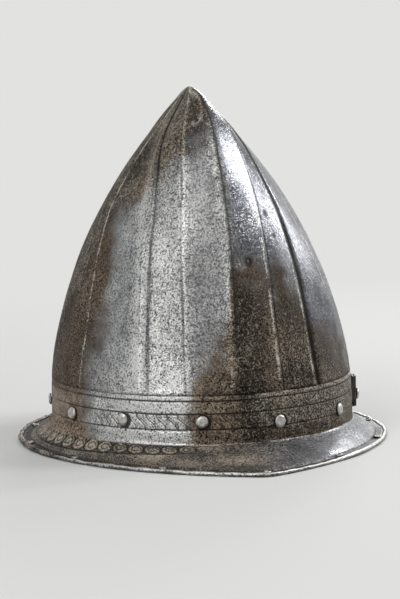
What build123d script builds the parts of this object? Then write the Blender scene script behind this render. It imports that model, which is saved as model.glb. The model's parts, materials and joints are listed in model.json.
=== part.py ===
"""Cabasset: pointed infantry helmet of about 1580, with its rivets, edge wire, plume socket and lining.

Millimetres, +Z up. The origin is on the ground plane, under the middle of the skull.
The front faces -Y and the wearer's left side is +X.
"""
from build123d import *
from math import atan, cos, degrees, pi, radians, sin, sqrt, tan
import os

# Skull plate
skull_half_width = 104.0
skull_half_length = 114.0
skull_rise = 205.0
skull_plate = 1.5
keel_rise = 2.2
flute_sink = 1.2
keel_panel_hollow = 1.7
flute_hollow = 0.8
outer_panel_hollow = 1.2
flute_step_degrees = 1.1
band_height = 28.0

# Brim and its rolled edge
brim_half_width = 127.5
brim_half_length = 173.0
brim_point_share = 0.5
brim_fall = 9.8
brim_plate = 1.3
border_width = 4.6
border_plate = 1.1
border_sink = 0.65
roll_radius = 1.8
roll_plate = 0.8
roll_slit = 0.35
roll_land = 0.15
wire_clearance = 0.2

# Lining rivets and their washers
lining_rivet_count = 12
lining_rivet_lift = 14.5
lining_head_radius = 4.2
lining_head_height = 1.9
lining_shank_radius = 1.5
lining_tail_radius = 2.3
lining_tail_height = 1.0
washer_radius = 4.5
washer_plate = 1.0

# How far each hand-set lining rivet lies from its even place, once round from the front
rivet_turn_offsets = (-1.1, 1.8, 0.0, 0.9, -1.2, 0.6, -0.7, 1.3, -0.5, 3.4, -0.3, -0.4)
rivet_height_offsets = (-1.7, -1.9, 0.0, 0.6, -0.4, 0.3, 0.5, -0.6, 0.4, 0.3, 1.3, 1.0)

# Brim rivets
brim_rivet_count = 12
brim_head_radius = 1.7
brim_head_height = 1.0
brim_shank_radius = 0.8
brim_tail_radius = 1.2
brim_tail_height = 0.3
brim_rivet_share = 0.5

# Plume socket, a plate with a flat tube on it, fixed by one lining rivet on the wearer's left
socket_rivet_index = 2
socket_width = 15.0
socket_height = 21.0
socket_plate = 1.0
socket_below_rivet = 8.0
tube_width = 10.5
tube_plate = 0.8
tube_slot_width = 8.4
tube_slot_depth = 0.9
tube_round = 0.9

# Lining
strap_height = 22.0
strap_thickness = 2.0
strap_lift = 3.5
gore_count = 8
gore_thickness = 7.0
gore_gap = 0.8
gore_hem_height = 4.5
gore_wall_height = 24.0
gore_crown_rise = 87.0
gore_tip_radius = 20.0
lace_radius = 1.2
lace_ring_radius = 27.0

# Clearances between pieces
seat_gap = 0.25
soft_gap = 0.3
hole_clearance = 0.15
overrun = 6.0

# Sizes of the skull's sections at rising heights, as shares of its rise, half-width and half-length
level_shares = (0.0, 0.17, 0.34, 0.52, 0.65, 0.79, 0.87, 0.93, 0.965, 0.985)
width_shares = (0.995, 0.945, 0.845, 0.69, 0.54, 0.34, 0.213, 0.118, 0.062, 0.028)
front_shares = (0.995, 0.94, 0.87, 0.765, 0.665, 0.53, 0.42, 0.28, 0.165, 0.08)
rear_shares = (0.995, 0.95, 0.885, 0.785, 0.685, 0.555, 0.455, 0.33, 0.23, 0.165)
keel_shares = (0.0, 0.5, 0.9, 1.0, 1.0, 0.9, 0.7, 0.4, 0.2, 0.1)
tip_rear_share = 0.55
tip_crest_share = 0.4

# The section where the steep sides end and the rounded crown starts
crown_section = 7

# Directions of the flute lines, in degrees from the front, seen from above
flute_degrees = (20.5, 36.0, 64.0)
outline_steps = 12
outline_tolerance = 1e-6

# Heights that follow
roll_height = roll_radius - roll_land
border_top = roll_height + roll_radius - border_sink - border_plate
brim_edge_height = border_top + border_sink
band_bottom = brim_edge_height + brim_fall
band_top = band_bottom + band_height
rivet_height = band_bottom + lining_rivet_lift
strap_bottom = band_bottom + strap_lift

# Depths below the skull's outer face, in the order that a lining rivet goes through
strap_outer_depth = skull_plate + soft_gap
strap_inner_depth = strap_outer_depth + strap_thickness
washer_outer_depth = strap_inner_depth + seat_gap
washer_inner_depth = washer_outer_depth + washer_plate
tail_outer_depth = washer_inner_depth + seat_gap
tail_inner_depth = tail_outer_depth + lining_tail_height
gore_depth = tail_inner_depth + soft_gap
socket_stand = socket_plate + tube_slot_depth + tube_plate

# Half the angle of the brim's points, and how far a point moves back when its sides move in by 1
point_angle = atan(pi * brim_half_width / (2.0 * brim_half_length * brim_point_share))
point_stretch = 1.0 / sin(point_angle)

# The quilted cap: its hem seats on the strap, and its wall clears the rivet tails
hem_half_width = skull_half_width - strap_inner_depth - soft_gap
gore_stretch = (skull_half_length - strap_inner_depth - soft_gap) / hem_half_width
gore_half_width = skull_half_width - gore_depth
gore_wall_top = strap_bottom + gore_wall_height

gore_names = ("front", "front_left", "left", "rear_left", "rear", "rear_right", "right", "front_right")

os.makedirs("parts", exist_ok=True)


def rim_point(inset, turn, height):
    """A point inside the brim's outline; turn runs from 0 at the front to pi at the back, on +X."""
    along = (1.0 - brim_point_share) * cos(turn) + brim_point_share * (1.0 - 2.0 * turn / pi)
    place = Vector(brim_half_width * sin(turn), -brim_half_length * along, height)
    if sin(turn) < outline_tolerance:
        return place + Vector(0, inset * point_stretch * cos(turn), 0)
    slope = (1.0 - brim_point_share) * sin(turn) + 2.0 * brim_point_share / pi
    outward = Vector(brim_half_length * slope, -brim_half_width * cos(turn), 0).normalized()
    return place - outward * inset


def base_point(depth, turn, height):
    """A point inside the oval of the skull's base."""
    return Vector((skull_half_width - depth) * sin(turn), -(skull_half_length - depth) * cos(turn), height)


def outline_points(point, inset, height):
    return [point(inset, pi * step / outline_steps, height) for step in range(outline_steps + 1)]


def outline_face(point, inset, height):
    """A face bounded by two mirrored curves that meet at the front and at the back."""
    points = outline_points(point, inset, height)
    right = Spline(*points).edge()
    left = Spline(*[Vector(-point.X, point.Y, point.Z) for point in reversed(points)]).edge()
    return Face(Wire([right, left]))


def skull_point(angle, half_width, front, rear, rise, height):
    """A point of the skull's section in the direction of an angle from the front, in degrees."""
    across = sin(radians(angle))
    along = cos(radians(angle))
    length = front if along > 0 else rear
    reach = half_width * length / sqrt((length * across) ** 2 + (half_width * along) ** 2)
    return Vector((reach + rise) * across, -(reach + rise) * along, height)


def section_corners(sink, keel):
    """Angle and rise of each corner of a section, once round from the keel at the front."""
    inner, outer, side = flute_degrees
    front = [(0.0, keel), (inner, 0.0), (outer, -sink), (outer + flute_step_degrees, 0.0), (side, 0.0)]
    right = front + [(180.0 - angle, rise) for angle, rise in reversed(front)]
    left = [(360.0 - angle, rise) for angle, rise in reversed(right)]
    return right + left[1:]


def skull_section(half_width, front, rear, share, keel_share, height):
    """One fluted section of the skull: a flat face whose edge is one arc for each panel and step."""
    corners = section_corners(flute_sink * share, keel_rise * keel_share)
    quarter = [keel_panel_hollow, flute_hollow, 0.0, outer_panel_hollow]
    half = quarter + [0.0] + quarter[::-1]
    edges = []
    for start, end, hollow in zip(corners, corners[1:], half + half):
        middle = ((start[0] + end[0]) / 2.0, (start[1] + end[1]) / 2.0 - hollow * share)
        points = [
            skull_point(angle, half_width, front, rear, rise, height)
            for angle, rise in (start, middle, end)
        ]
        edges.append(ThreePointArc(*points).edge())
    return Face(Wire(edges))


def fluted_dome(shrink):
    """The skull above its band as a solid, shrunk towards the middle of the band's top."""
    sections = []
    shares = zip(level_shares, width_shares, front_shares, rear_shares, keel_shares)
    for level, width, front, rear, keel in shares:
        sections.append(
            skull_section(
                skull_half_width * width * shrink,
                skull_half_length * front * shrink,
                skull_half_length * rear * shrink,
                width,
                keel,
                band_top + skull_rise * level * shrink,
            )
        )
    return loft(sections[: crown_section + 1]) + loft(sections[crown_section:])


def skull_tip():
    """The low crest that closes the top of the skull, its highest point towards the back."""
    width = skull_half_width * width_shares[-1]
    front = skull_half_length * front_shares[-1]
    rear = skull_half_length * rear_shares[-1]
    bottom = band_top + skull_rise * level_shares[-1]
    foot = Ellipse(width, (front + rear) / 2.0)
    crest = Ellipse(width * tip_crest_share, (front + rear) / 2.0 * tip_crest_share)
    foot = Pos(0, (rear - front) / 2.0, bottom) * foot
    crest = Pos(0, rear * tip_rear_share, band_top + skull_rise) * crest
    return loft([foot, crest])


def oval_block(depth, bottom, top):
    """An upright oval block whose side lies at a depth below the skull's outer face."""
    profile = Ellipse(skull_half_width - depth, skull_half_length - depth)
    return extrude(Pos(0, 0, bottom) * profile, amount=top - bottom)


def brim_blank(drop):
    """The brim's cone as a solid down to the step of the border, moved down by a drop."""
    edge = outline_face(rim_point, 2.0 * roll_radius + border_width, brim_edge_height)
    foot = outline_face(base_point, skull_plate / 2.0, band_bottom)
    step = extrude(edge, amount=border_sink + border_plate, dir=(0, 0, -1))
    return Pos(0, 0, -drop) * (loft([edge, foot]) + step)


def rim_path():
    """The roll's middle line on the +X side, run on straight past both points."""
    points = outline_points(rim_point, roll_radius, roll_height)
    heading = Vector(sin(point_angle), cos(point_angle), 0)
    closing = Vector(-heading.X, heading.Y, 0)
    curve = Spline(*points, tangents=[heading, closing])
    lead = Line(points[0] - heading * overrun, points[0])
    tail = Line(points[-1], points[-1] + closing * overrun)
    return Wire([lead.edge(), curve.edge(), tail.edge()])


def along_rim(profile):
    """Sweeps a profile round the rim: its +X points outwards from the helmet and its +Y up."""
    path = rim_path()
    outward = Vector(cos(point_angle), -sin(point_angle), 0)
    start = Plane(origin=path @ 0, x_dir=outward, z_dir=-(path % 0))
    swept = sweep(start * profile, path=path)
    reach = 2.0 * brim_half_length
    side = Pos(reach / 2.0, 0, 0) * Box(reach, 2.0 * reach, reach)
    right = swept & side
    return right + mirror(right, about=Plane.YZ)


def rolled_edge():
    """The sunk border and the roll, whose closing edge leaves a slit under the border."""
    inner_radius = roll_radius - roll_plate
    run = roll_radius + border_width + border_plate
    level = border_top - roll_height - border_plate / 2.0
    border = Pos(-(run + inner_radius) / 2.0, level) * Rectangle(run - inner_radius, border_plate)
    slit_level = level - (border_plate + roll_slit) / 2.0
    slit_end = inner_radius - roll_slit
    slit_width = 2.0 * roll_radius - slit_end
    slit = Pos(-slit_end - slit_width / 2.0, slit_level) * Rectangle(slit_width, roll_slit)
    return along_rim(Circle(roll_radius) + border - Circle(inner_radius) - slit)


def rivet_plane(index):
    """A plane on the skull's outer face at one lining rivet, facing outwards."""
    offset = index % len(rivet_turn_offsets)
    turn = 2.0 * pi * (index + 0.5) / lining_rivet_count + radians(rivet_turn_offsets[offset])
    place = base_point(0, turn, rivet_height + rivet_height_offsets[offset])
    facing = Vector(sin(turn) / skull_half_width, -cos(turn) / skull_half_length, 0)
    return Plane(origin=place, x_dir=(-facing.Y, facing.X, 0), z_dir=facing)


def lining_holes():
    radius = lining_shank_radius + hole_clearance
    return [rivet_plane(index) * Cylinder(radius, 2.0 * gore_depth) for index in range(lining_rivet_count)]


def brim_rivet_place(index):
    """The middle of one brim rivet on the border's upper face."""
    turn = 2.0 * pi * index / brim_rivet_count
    half_turn = min(turn, 2.0 * pi - turn)
    place = rim_point(2.0 * roll_radius + border_width * brim_rivet_share, half_turn, border_top)
    return Pos(place.X if turn <= pi else -place.X, place.Y, place.Z)


def brim_holes():
    radius = brim_shank_radius + hole_clearance
    return [brim_rivet_place(index) * Cylinder(radius, 2.0 * overrun) for index in range(brim_rivet_count)]


def skull():
    shell = fluted_dome(1.0) + skull_tip() + oval_block(0, band_bottom, band_top)
    shell += brim_blank(0) - brim_blank(brim_plate)
    shell += rolled_edge()
    shell -= fluted_dome(1.0 - skull_plate / skull_half_width)
    shell -= oval_block(skull_plate, -overrun, band_top)
    ground = 4.0 * brim_half_length
    shell -= Pos(0, 0, -overrun / 2.0) * Box(ground, ground, overrun)
    return shell - lining_holes() - brim_holes()


def head_profile(radius, height):
    """Half of a low round rivet head, as a face to turn about Y."""
    swell = (radius**2 + height**2) / (2.0 * height)
    angle = degrees(atan(radius / (swell - height)))
    arc = CenterArc((0, height - swell), swell, 90.0 - angle, angle)
    return make_face(arc + Line((0, height), (0, 0)) + Line((0, 0), (radius, 0)))


def rivet(head_radius, head_height, shank_radius, grip, tail_radius, tail_height):
    """A rivet along +Z whose head starts at 0; the grip runs down to its hammered tail."""
    head = revolve(Plane.XZ * head_profile(head_radius, head_height), axis=Axis.Z)
    shank = Pos(0, 0, -(grip + tail_height) / 2.0) * Cylinder(shank_radius, grip + tail_height)
    tail = Pos(0, 0, -grip - tail_height / 2.0) * Cylinder(tail_radius, tail_height)
    return head + shank + tail


def lining_rivets():
    rivets = []
    for index in range(lining_rivet_count):
        outset = seat_gap
        if index == socket_rivet_index:
            outset += seat_gap + socket_stand
        piece = rivet(
            lining_head_radius,
            lining_head_height,
            lining_shank_radius,
            outset + tail_outer_depth,
            lining_tail_radius,
            lining_tail_height,
        )
        rivets.append(rivet_plane(index) * Pos(0, 0, outset) * piece)
    return Compound(children=rivets)


def lining_rivet_washers():
    ring = Cylinder(washer_radius, washer_plate) - Cylinder(lining_shank_radius + hole_clearance, washer_plate)
    middle = (washer_outer_depth + washer_inner_depth) / 2.0
    washers = [rivet_plane(index) * Pos(0, 0, -middle) * ring for index in range(lining_rivet_count)]
    return Compound(children=washers)


def brim_rivets():
    piece = rivet(
        brim_head_radius,
        brim_head_height,
        brim_shank_radius,
        border_plate + 2.0 * seat_gap,
        brim_tail_radius,
        brim_tail_height,
    )
    rivets = [brim_rivet_place(index) * Pos(0, 0, seat_gap) * piece for index in range(brim_rivet_count)]
    return Compound(children=rivets)


def brim_edge_wire():
    return along_rim(Circle(roll_radius - roll_plate - wire_clearance))


def plume_socket():
    """A plate bent to the skull, with an upright flat tube for the quill, and one rivet through both."""
    plane = rivet_plane(socket_rivet_index)
    bottom = rivet_height - socket_below_rivet
    top = bottom + socket_height
    shell = oval_block(-seat_gap - socket_plate, bottom, top) - oval_block(-seat_gap, bottom, top)
    plate = shell & plane * Box(socket_width, 2.0 * socket_height, 2.0 * socket_height)
    tube = Box(tube_width, socket_height, socket_stand)
    tube = fillet(tube.edges().filter_by(Axis.Y).group_by(Axis.Z)[-1], tube_round)
    level = (bottom + top) / 2.0 - rivet_height
    tube = plane * Pos(0, level, seat_gap + socket_stand / 2.0) * tube - oval_block(-seat_gap, bottom, top)
    slot_level = seat_gap + socket_plate + tube_slot_depth / 2.0
    slot = plane * Pos(0, 0, slot_level) * Box(tube_slot_width, 4.0 * socket_height, tube_slot_depth)
    hole = plane * Cylinder(lining_shank_radius + hole_clearance, 2.0 * socket_height)
    return plate + tube - slot - hole


def lining_band():
    top = strap_bottom + strap_height
    ring = oval_block(strap_outer_depth, strap_bottom, top) - oval_block(strap_inner_depth, strap_bottom, top)
    return ring - lining_holes()


def domed_block(half_width, bottom, wall_top, crown_rise):
    """A block that is round in plan, with an upright wall and half an ellipsoid over it."""
    wall = Polyline((0, wall_top + crown_rise), (0, bottom), (half_width, bottom), (half_width, wall_top))
    arc = EllipticalCenterArc((0, wall_top), half_width, crown_rise, 0, arc_size=90)
    return revolve(Plane.XZ * make_face(wall + arc), axis=Axis.Z)


def gore_wedge(index):
    """An upright wedge with its edge on the axis, moved out to leave half a gap on each side."""
    reach = 2.0 * skull_half_length
    half = pi / gore_count
    spread = reach * tan(half)
    wedge = Polygon((0, 0), (reach, -spread), (reach, spread), align=None)
    block = Pos(gore_gap / 2.0 / sin(half), 0, 0) * extrude(wedge, amount=skull_rise)
    return Rot(0, 0, degrees(2.0 * half * index) - 90.0) * block


def lace_ring(radius):
    """A ring in the middle of the gores' thickness, near their tips."""
    outer_rise = gore_crown_rise * sqrt(1.0 - (lace_ring_radius / gore_half_width) ** 2)
    inner_half_width = gore_half_width - gore_thickness
    inner_rise = (gore_crown_rise - gore_thickness) * sqrt(1.0 - (lace_ring_radius / inner_half_width) ** 2)
    ring = Pos(0, 0, gore_wall_top + (outer_rise + inner_rise) / 2.0) * Torus(lace_ring_radius, radius)
    return scale(ring, by=(1, gore_stretch, 1))


def lining_gores():
    """The padded gores of the cap, one solid each, with the tunnel for the crown lace."""
    inner_half_width = gore_half_width - gore_thickness
    cap = domed_block(gore_half_width, strap_bottom, gore_wall_top, gore_crown_rise)
    cap += Pos(0, 0, strap_bottom + gore_hem_height / 2.0) * Cylinder(hem_half_width, gore_hem_height)
    cap -= domed_block(inner_half_width, strap_bottom, gore_wall_top, gore_crown_rise - gore_thickness)
    cap -= Pos(0, 0, gore_wall_top) * Cylinder(gore_tip_radius, 3.0 * gore_crown_rise)
    cap = scale(cap, by=(1, gore_stretch, 1)) - lace_ring(lace_radius + soft_gap)
    return [cap & gore_wedge(index) for index in range(gore_count)]


def save(shape, node):
    export_step(shape, f"parts/{node}.step")


save(skull(), "skull")
save(brim_edge_wire(), "brim_edge_wire")
save(lining_rivets(), "lining_rivets")
save(lining_rivet_washers(), "lining_rivet_washers")
save(brim_rivets(), "brim_rivets")
save(plume_socket(), "plume_socket")
save(lining_band(), "lining_band")
for name, gore in zip(gore_names, lining_gores()):
    save(gore, f"lining_gore_{name}")
save(lace_ring(lace_radius), "crown_lace")
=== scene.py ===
import bmesh
import bpy
import json
import math
import numpy as np
from mathutils import Matrix, Vector, noise

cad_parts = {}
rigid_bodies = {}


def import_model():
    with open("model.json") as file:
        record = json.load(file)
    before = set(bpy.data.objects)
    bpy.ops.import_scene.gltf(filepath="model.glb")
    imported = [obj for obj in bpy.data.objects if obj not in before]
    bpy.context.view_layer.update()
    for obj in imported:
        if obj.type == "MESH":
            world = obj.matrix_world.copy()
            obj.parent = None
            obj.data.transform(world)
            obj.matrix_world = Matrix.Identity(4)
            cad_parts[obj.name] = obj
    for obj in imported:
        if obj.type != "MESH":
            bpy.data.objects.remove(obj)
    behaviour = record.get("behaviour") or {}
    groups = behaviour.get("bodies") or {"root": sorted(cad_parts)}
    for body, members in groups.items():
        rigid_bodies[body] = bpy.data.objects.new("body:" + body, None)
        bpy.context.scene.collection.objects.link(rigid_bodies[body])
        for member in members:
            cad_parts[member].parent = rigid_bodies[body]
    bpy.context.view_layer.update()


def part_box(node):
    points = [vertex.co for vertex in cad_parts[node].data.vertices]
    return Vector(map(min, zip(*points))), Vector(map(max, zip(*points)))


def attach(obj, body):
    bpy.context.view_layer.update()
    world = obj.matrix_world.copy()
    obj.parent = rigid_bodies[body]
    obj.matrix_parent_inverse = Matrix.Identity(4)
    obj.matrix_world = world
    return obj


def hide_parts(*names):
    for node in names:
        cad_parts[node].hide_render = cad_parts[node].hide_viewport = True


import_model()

# Camera
# It stands where the photographer stood: in front, a little to the wearer's right,
# raised seven degrees, with the picture tipped by a degree and a half.
mm = 0.001
camera_distance = 1.8
camera_turn = math.radians(14.194)
camera_rise = math.radians(6.862)
camera_roll = math.radians(-1.491)
aim_right = 0.853 * mm
aim_height = 94.8 * mm

aim = Vector((aim_right * math.cos(camera_turn), -aim_right * math.sin(camera_turn), aim_height))
backward = Vector((
    -math.sin(camera_turn) * math.cos(camera_rise),
    -math.cos(camera_turn) * math.cos(camera_rise),
    math.sin(camera_rise),
))
camera = bpy.data.objects.new("camera", bpy.data.cameras.new("camera"))
bpy.context.scene.collection.objects.link(camera)
camera.data.sensor_width = 36.0
camera.data.lens = 155.7
turned = backward.to_track_quat("Z", "Y").to_matrix().to_4x4() @ Matrix.Rotation(camera_roll, 4, "Z")
camera.matrix_world = Matrix.Translation(aim + backward * camera_distance) @ turned
bpy.context.scene.camera = camera

# Skull bowl
# The keeled and fluted bowl above the etched band, hammered up from the same steel plate as the
# band and the brim. Its sections are ovals that shrink towards a short crest behind the middle.
plate = 1.5 * mm
band_bottom = 12.15 * mm
bowl_bottom = 44.9 * mm
strap_depth = 1.8 * mm
skull_half_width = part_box("lining_band")[1].x + strap_depth
skull_half_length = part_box("lining_band")[1].y + strap_depth
skull_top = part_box("skull")[1].z
level_zero = 40.15 * mm
skull_rise = skull_top - level_zero
apex_back = 10.3 * mm
apex_power = 1.3
merge_distance = 0.001 * mm
cap_level = 0.962
cap_top = 0.987

level_shares = (-0.14, 0.0, 0.17, 0.34, 0.52, 0.65, 0.79, 0.87, 0.93, 0.965, 0.985)
width_shares = (1.0, 0.995, 0.945, 0.845, 0.69, 0.54, 0.34, 0.209, 0.108, 0.051, 0.022)
front_shares = (1.0, 0.995, 0.94, 0.87, 0.765, 0.665, 0.53, 0.42, 0.28, 0.165, 0.08)
rear_shares = (1.0, 0.995, 0.95, 0.885, 0.785, 0.685, 0.555, 0.455, 0.33, 0.23, 0.165)

# Corners of the fluted section once round from the rear: turn in degrees from the front towards
# the wearer's left, rise and hollow of the panel that follows, in millimetres
keel_line, right_inner, right_outer, right_side = -1.4, -20.3, -33.6, -64.6
left_inner, left_outer, left_side = 15.8, 31.2, 64.0
flutes = (
    (-180.0, 2.3, 1.6), (-159.5, 0.0, 0.7), (-146.0, -1.5, 0.0), (-143.4, 0.0, 1.3), (-116.0, 0.0, 0.0),
    (right_side, 0.0, 1.3), (-36.9, 0.0, 0.0), (right_outer, -1.5, 0.7), (right_inner, 0.0, 1.6),
    (keel_line, 2.3, 1.6), (left_inner, 0.0, 0.7), (left_outer, -1.5, 0.0), (33.8, 0.0, 1.3),
    (left_side, 0.0, 0.0), (116.0, 0.0, 1.3), (143.4, 0.0, 0.0), (146.0, -1.5, 0.7), (159.5, 0.0, 1.6),
    (180.0, 2.3, 0.0),
)

# Where each flute line of the front runs: its turn at the band, then heights in millimetres and turns
line_courses = (
    (-180.0, (40,), (-180,)),
    (-116.0, (40,), (-116,)),
    (right_side, (66, 84, 115, 142, 168, 245), (-64.6, -64, -66.5, -71, -78.5, -84)),
    (right_outer, (48, 107, 134, 166, 188, 216), (-33.2, -34, -34.8, -35.5, -37.8, -47.5)),
    (right_inner, (46, 108, 152, 188, 215), (-19.2, -20, -20.8, -20.8, -22.8)),
    (keel_line, (44, 79, 143, 224), (-2.5, -2.2, -1.0, -1.2)),
    (left_inner, (54, 102, 122, 148, 172), (15.2, 15.2, 15.5, 16.2, 17.2)),
    (left_outer, (45, 70, 130, 163, 187), (31.5, 31.0, 31.3, 31.0, 29.0)),
    (left_side, (40,), (64,)),
    (180.0, (40,), (180,)),
)


def smooth_through(knots, values, at):
    """A natural cubic curve through values at rising knots."""
    knots, values = np.array(knots, float), np.array(values, float)
    count = len(knots)
    gap = np.diff(knots)
    rows, right = np.eye(count), np.zeros(count)
    for i in range(1, count - 1):
        rows[i, i - 1: i + 2] = gap[i - 1], 2.0 * (gap[i - 1] + gap[i]), gap[i]
        right[i] = 6.0 * ((values[i + 1] - values[i]) / gap[i] - (values[i] - values[i - 1]) / gap[i - 1])
    bend = np.linalg.solve(rows, right)
    i = np.clip(np.searchsorted(knots, at) - 1, 0, count - 2)
    near, far = at - knots[i], knots[i + 1] - at
    cubic = (bend[i] * far**3 + bend[i + 1] * near**3) / (6.0 * gap[i])
    line = (values[i] / gap[i] - bend[i] * gap[i] / 6.0) * far
    return cubic + line + (values[i + 1] / gap[i] - bend[i + 1] * gap[i] / 6.0) * near


def ease(low, high, value):
    """0 before low, 1 past high, and a smooth rise between them."""
    share = np.clip((value - low) / (high - low), 0.0, 1.0)
    return share * share * (3.0 - 2.0 * share)


def held(value):
    """A value held between 0 and 1."""
    return np.clip(value, 0.0, 1.0)


def between(value, low, rise, fall, high):
    """1 from rise to fall, and a smooth way to 0 at low and at high."""
    return ease(low, rise, value) * ease(high, fall, value)


def groove(distance, width):
    """A bell curve: 1 on a line, fading over a width on both sides."""
    return np.exp(-((distance / width) ** 2))


def straightened(turn, z):
    """Turns as they would be if the flute lines ran straight up from the band."""
    plain = np.array(turn, float)
    for (near_base, near_z, near_turns), (far_base, far_z, far_turns) in zip(line_courses, line_courses[1:]):
        near, far = np.interp(z, near_z, near_turns), np.interp(z, far_z, far_turns)
        share = (turn - near) / (far - near)
        plain = np.where((share >= 0.0) & (share <= 1.0), near_base + (far_base - near_base) * share, plain)
    return plain


def flute_relief(turn):
    """How far the fluted surface stands out from the plain oval at a turn."""
    turns, rises, hollows = np.array(flutes).T
    i = np.clip(np.searchsorted(turns, turn) - 1, 0, len(turns) - 2)
    along = (turn - turns[i]) / (turns[i + 1] - turns[i])
    return (rises[i] + (rises[i + 1] - rises[i]) * along - hollows[i] * 4.0 * along * (1.0 - along)) * mm


def arc_from(turn, line):
    """Distance in metres along the skull's base from a line's turn."""
    return np.radians((turn - line + 180.0) % 360.0 - 180.0) * skull_half_width


def lumps(points, size, seed):
    """Smooth noise from -1 to 1 at each point, with lumps of about a size."""
    offset = Vector((seed * 7.3, seed * 3.1, seed * 5.7))
    return np.array([noise.noise(Vector(point) / size + offset) for point in points])


def base_oval(turn):
    """Places on the outline of the skull's base at turns in degrees, and the outward direction there."""
    angle = np.radians(turn)
    spot = np.stack([skull_half_width * np.sin(angle), -skull_half_length * np.cos(angle)], -1)
    outward = np.stack([np.sin(angle) / skull_half_width, -np.cos(angle) / skull_half_length], -1)
    return spot, outward / np.linalg.norm(outward, axis=-1, keepdims=True)


def bowl_place(turn, level, shrink, depth):
    """Places on the bowl below its outer face; shrink draws the last rows in to close the tip."""
    angle = np.radians(turn)
    back = apex_back * held(level) ** apex_power
    flat = np.minimum(level, cap_level)
    width = skull_half_width * smooth_through(level_shares, width_shares, flat) * shrink
    front = skull_half_length * smooth_through(level_shares, front_shares, flat) + back
    rear = skull_half_length * smooth_through(level_shares, rear_shares, flat) - back
    length = np.where(np.cos(angle) > 0.0, front, rear) * shrink
    reach = width * length / np.sqrt((length * np.sin(angle)) ** 2 + (width * np.cos(angle)) ** 2 + 1e-18)
    reach = reach - depth * np.minimum(1.0, shrink)
    return np.stack([reach * np.sin(angle), back - reach * np.cos(angle), level_zero + skull_rise * level], 1)


def gathered_turns(columns, lines, share):
    """Turns of the columns, once round, closer together beside the given lines."""
    gathered_width = 2.6
    fine = np.linspace(-180.0, 180.0, 7201)
    weight = np.ones_like(fine)
    for line in lines:
        weight += share * groove((fine - line + 180.0) % 360.0 - 180.0, gathered_width)
    total = np.concatenate([[0.0], np.cumsum((weight[1:] + weight[:-1]) / 2.0)])
    return np.interp(np.linspace(0.0, total[-1], columns + 1), total, fine)


def blank_sheet(columns, rows):
    """A flat grid as a mesh, with the column and row of each of its vertices."""
    work = bmesh.new()
    bmesh.ops.create_grid(work, x_segments=columns, y_segments=rows - 1, size=0.5)
    mesh = bpy.data.meshes.new("sheet")
    work.to_mesh(mesh)
    work.free()
    places = np.zeros(len(mesh.vertices) * 3, np.float32)
    mesh.vertices.foreach_get("co", places)
    places = places.reshape(-1, 3)
    column = np.rint((places[:, 0] + 0.5) * columns).astype(int)
    row = np.rint((places[:, 1] + 0.5) * (rows - 1)).astype(int)
    return mesh, column, row


def finished(name, mesh, places, marks):
    """Moves a grid to its places, closes its seams and poles, and makes the riding object."""
    mesh.vertices.foreach_set("co", places.astype(np.float32).ravel())
    for mark, values in marks.items():
        mesh.attributes.new(mark, "FLOAT", "POINT").data.foreach_set("value", values.astype(np.float32))
    work = bmesh.new()
    work.from_mesh(mesh)
    bmesh.ops.remove_doubles(work, verts=work.verts, dist=merge_distance)
    return closed_piece(name, work, mesh)


def closed_piece(name, work, mesh=None):
    """Makes an object from a bmesh with its faces smooth and pointing outwards."""
    mesh = mesh or bpy.data.meshes.new(name)
    bmesh.ops.recalc_face_normals(work, faces=work.faces)
    for face in work.faces:
        face.smooth = True
    work.to_mesh(mesh)
    work.free()
    mesh.name = name
    piece = bpy.data.objects.new(name, mesh)
    bpy.context.scene.collection.objects.link(piece)
    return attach(piece, "root")


def node(tree, kind, inputs=(), **settings):
    """Adds a shader node with its settings, and links or sets its inputs; colours have three numbers."""
    made = tree.nodes.new("ShaderNode" + kind)
    for name, value in settings.items():
        setattr(made, name, value)
    for name, value in dict(inputs).items():
        if isinstance(value, bpy.types.NodeSocket):
            tree.links.new(value, made.inputs[name])
        else:
            made.inputs[name].default_value = (*value, 1.0) if made.inputs[name].type == "RGBA" else value
    return made


def new_material(name):
    material = bpy.data.materials.new(name)
    material.use_nodes = True
    tree = material.node_tree
    tree.nodes.clear()
    shader = tree.nodes.new("ShaderNodeBsdfPrincipled")
    output = tree.nodes.new("ShaderNodeOutputMaterial")
    tree.links.new(shader.outputs[0], output.inputs[0])
    return material, tree, shader


def noise_value(tree, scale, detail=3.0, roughness=0.55):
    coordinates = node(tree, "TexCoord").outputs["Object"]
    inputs = {"Vector": coordinates, "Scale": scale, "Detail": detail, "Roughness": roughness}
    return node(tree, "TexNoise", inputs).outputs[0]


def stretched(value, low, high, bottom=0.0, top=1.0):
    """A value's range from low to high brought to bottom to top, and held there."""
    return node(value.id_data, "MapRange", {0: value, 1: low, 2: high, 3: bottom, 4: top}).outputs[0]


def sums(first, second, operation="ADD"):
    """Two values brought together by a node, of which the first is a socket."""
    return node(first.id_data, "Math", {0: first, 1: second}, operation=operation).outputs[0]


def times(first, second):
    return sums(first, second, "MULTIPLY")


def weighted(*terms):
    """The sum of values, each times its weight; the first is a socket."""
    tree, total = terms[0][0].id_data, 0.0
    for value, weight in terms:
        total = node(tree, "Math", {0: value, 1: weight, 2: total}, operation="MULTIPLY_ADD").outputs[0]
    return total


def mixed(share, first, second):
    return node(share.id_data, "Mix", {0: share, 6: first, 7: second}, data_type="RGBA").outputs[2]


def attribute(tree, name):
    return node(tree, "Attribute", attribute_name=name).outputs["Fac"]


def set_shader(shader, colour, rough, metal, height, strength, distance):
    """Links a finish to the shader, with its fine relief as a bump."""
    tree = shader.id_data
    bump = node(tree, "Bump", {"Strength": strength, "Distance": distance, "Height": height})
    for name, value in (("Base Color", colour), ("Roughness", rough), ("Metallic", metal)):
        if isinstance(value, bpy.types.NodeSocket):
            tree.links.new(value, shader.inputs[name])
        else:
            shader.inputs[name].default_value = value
    tree.links.new(bump.outputs[0], shader.inputs["Normal"])


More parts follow.
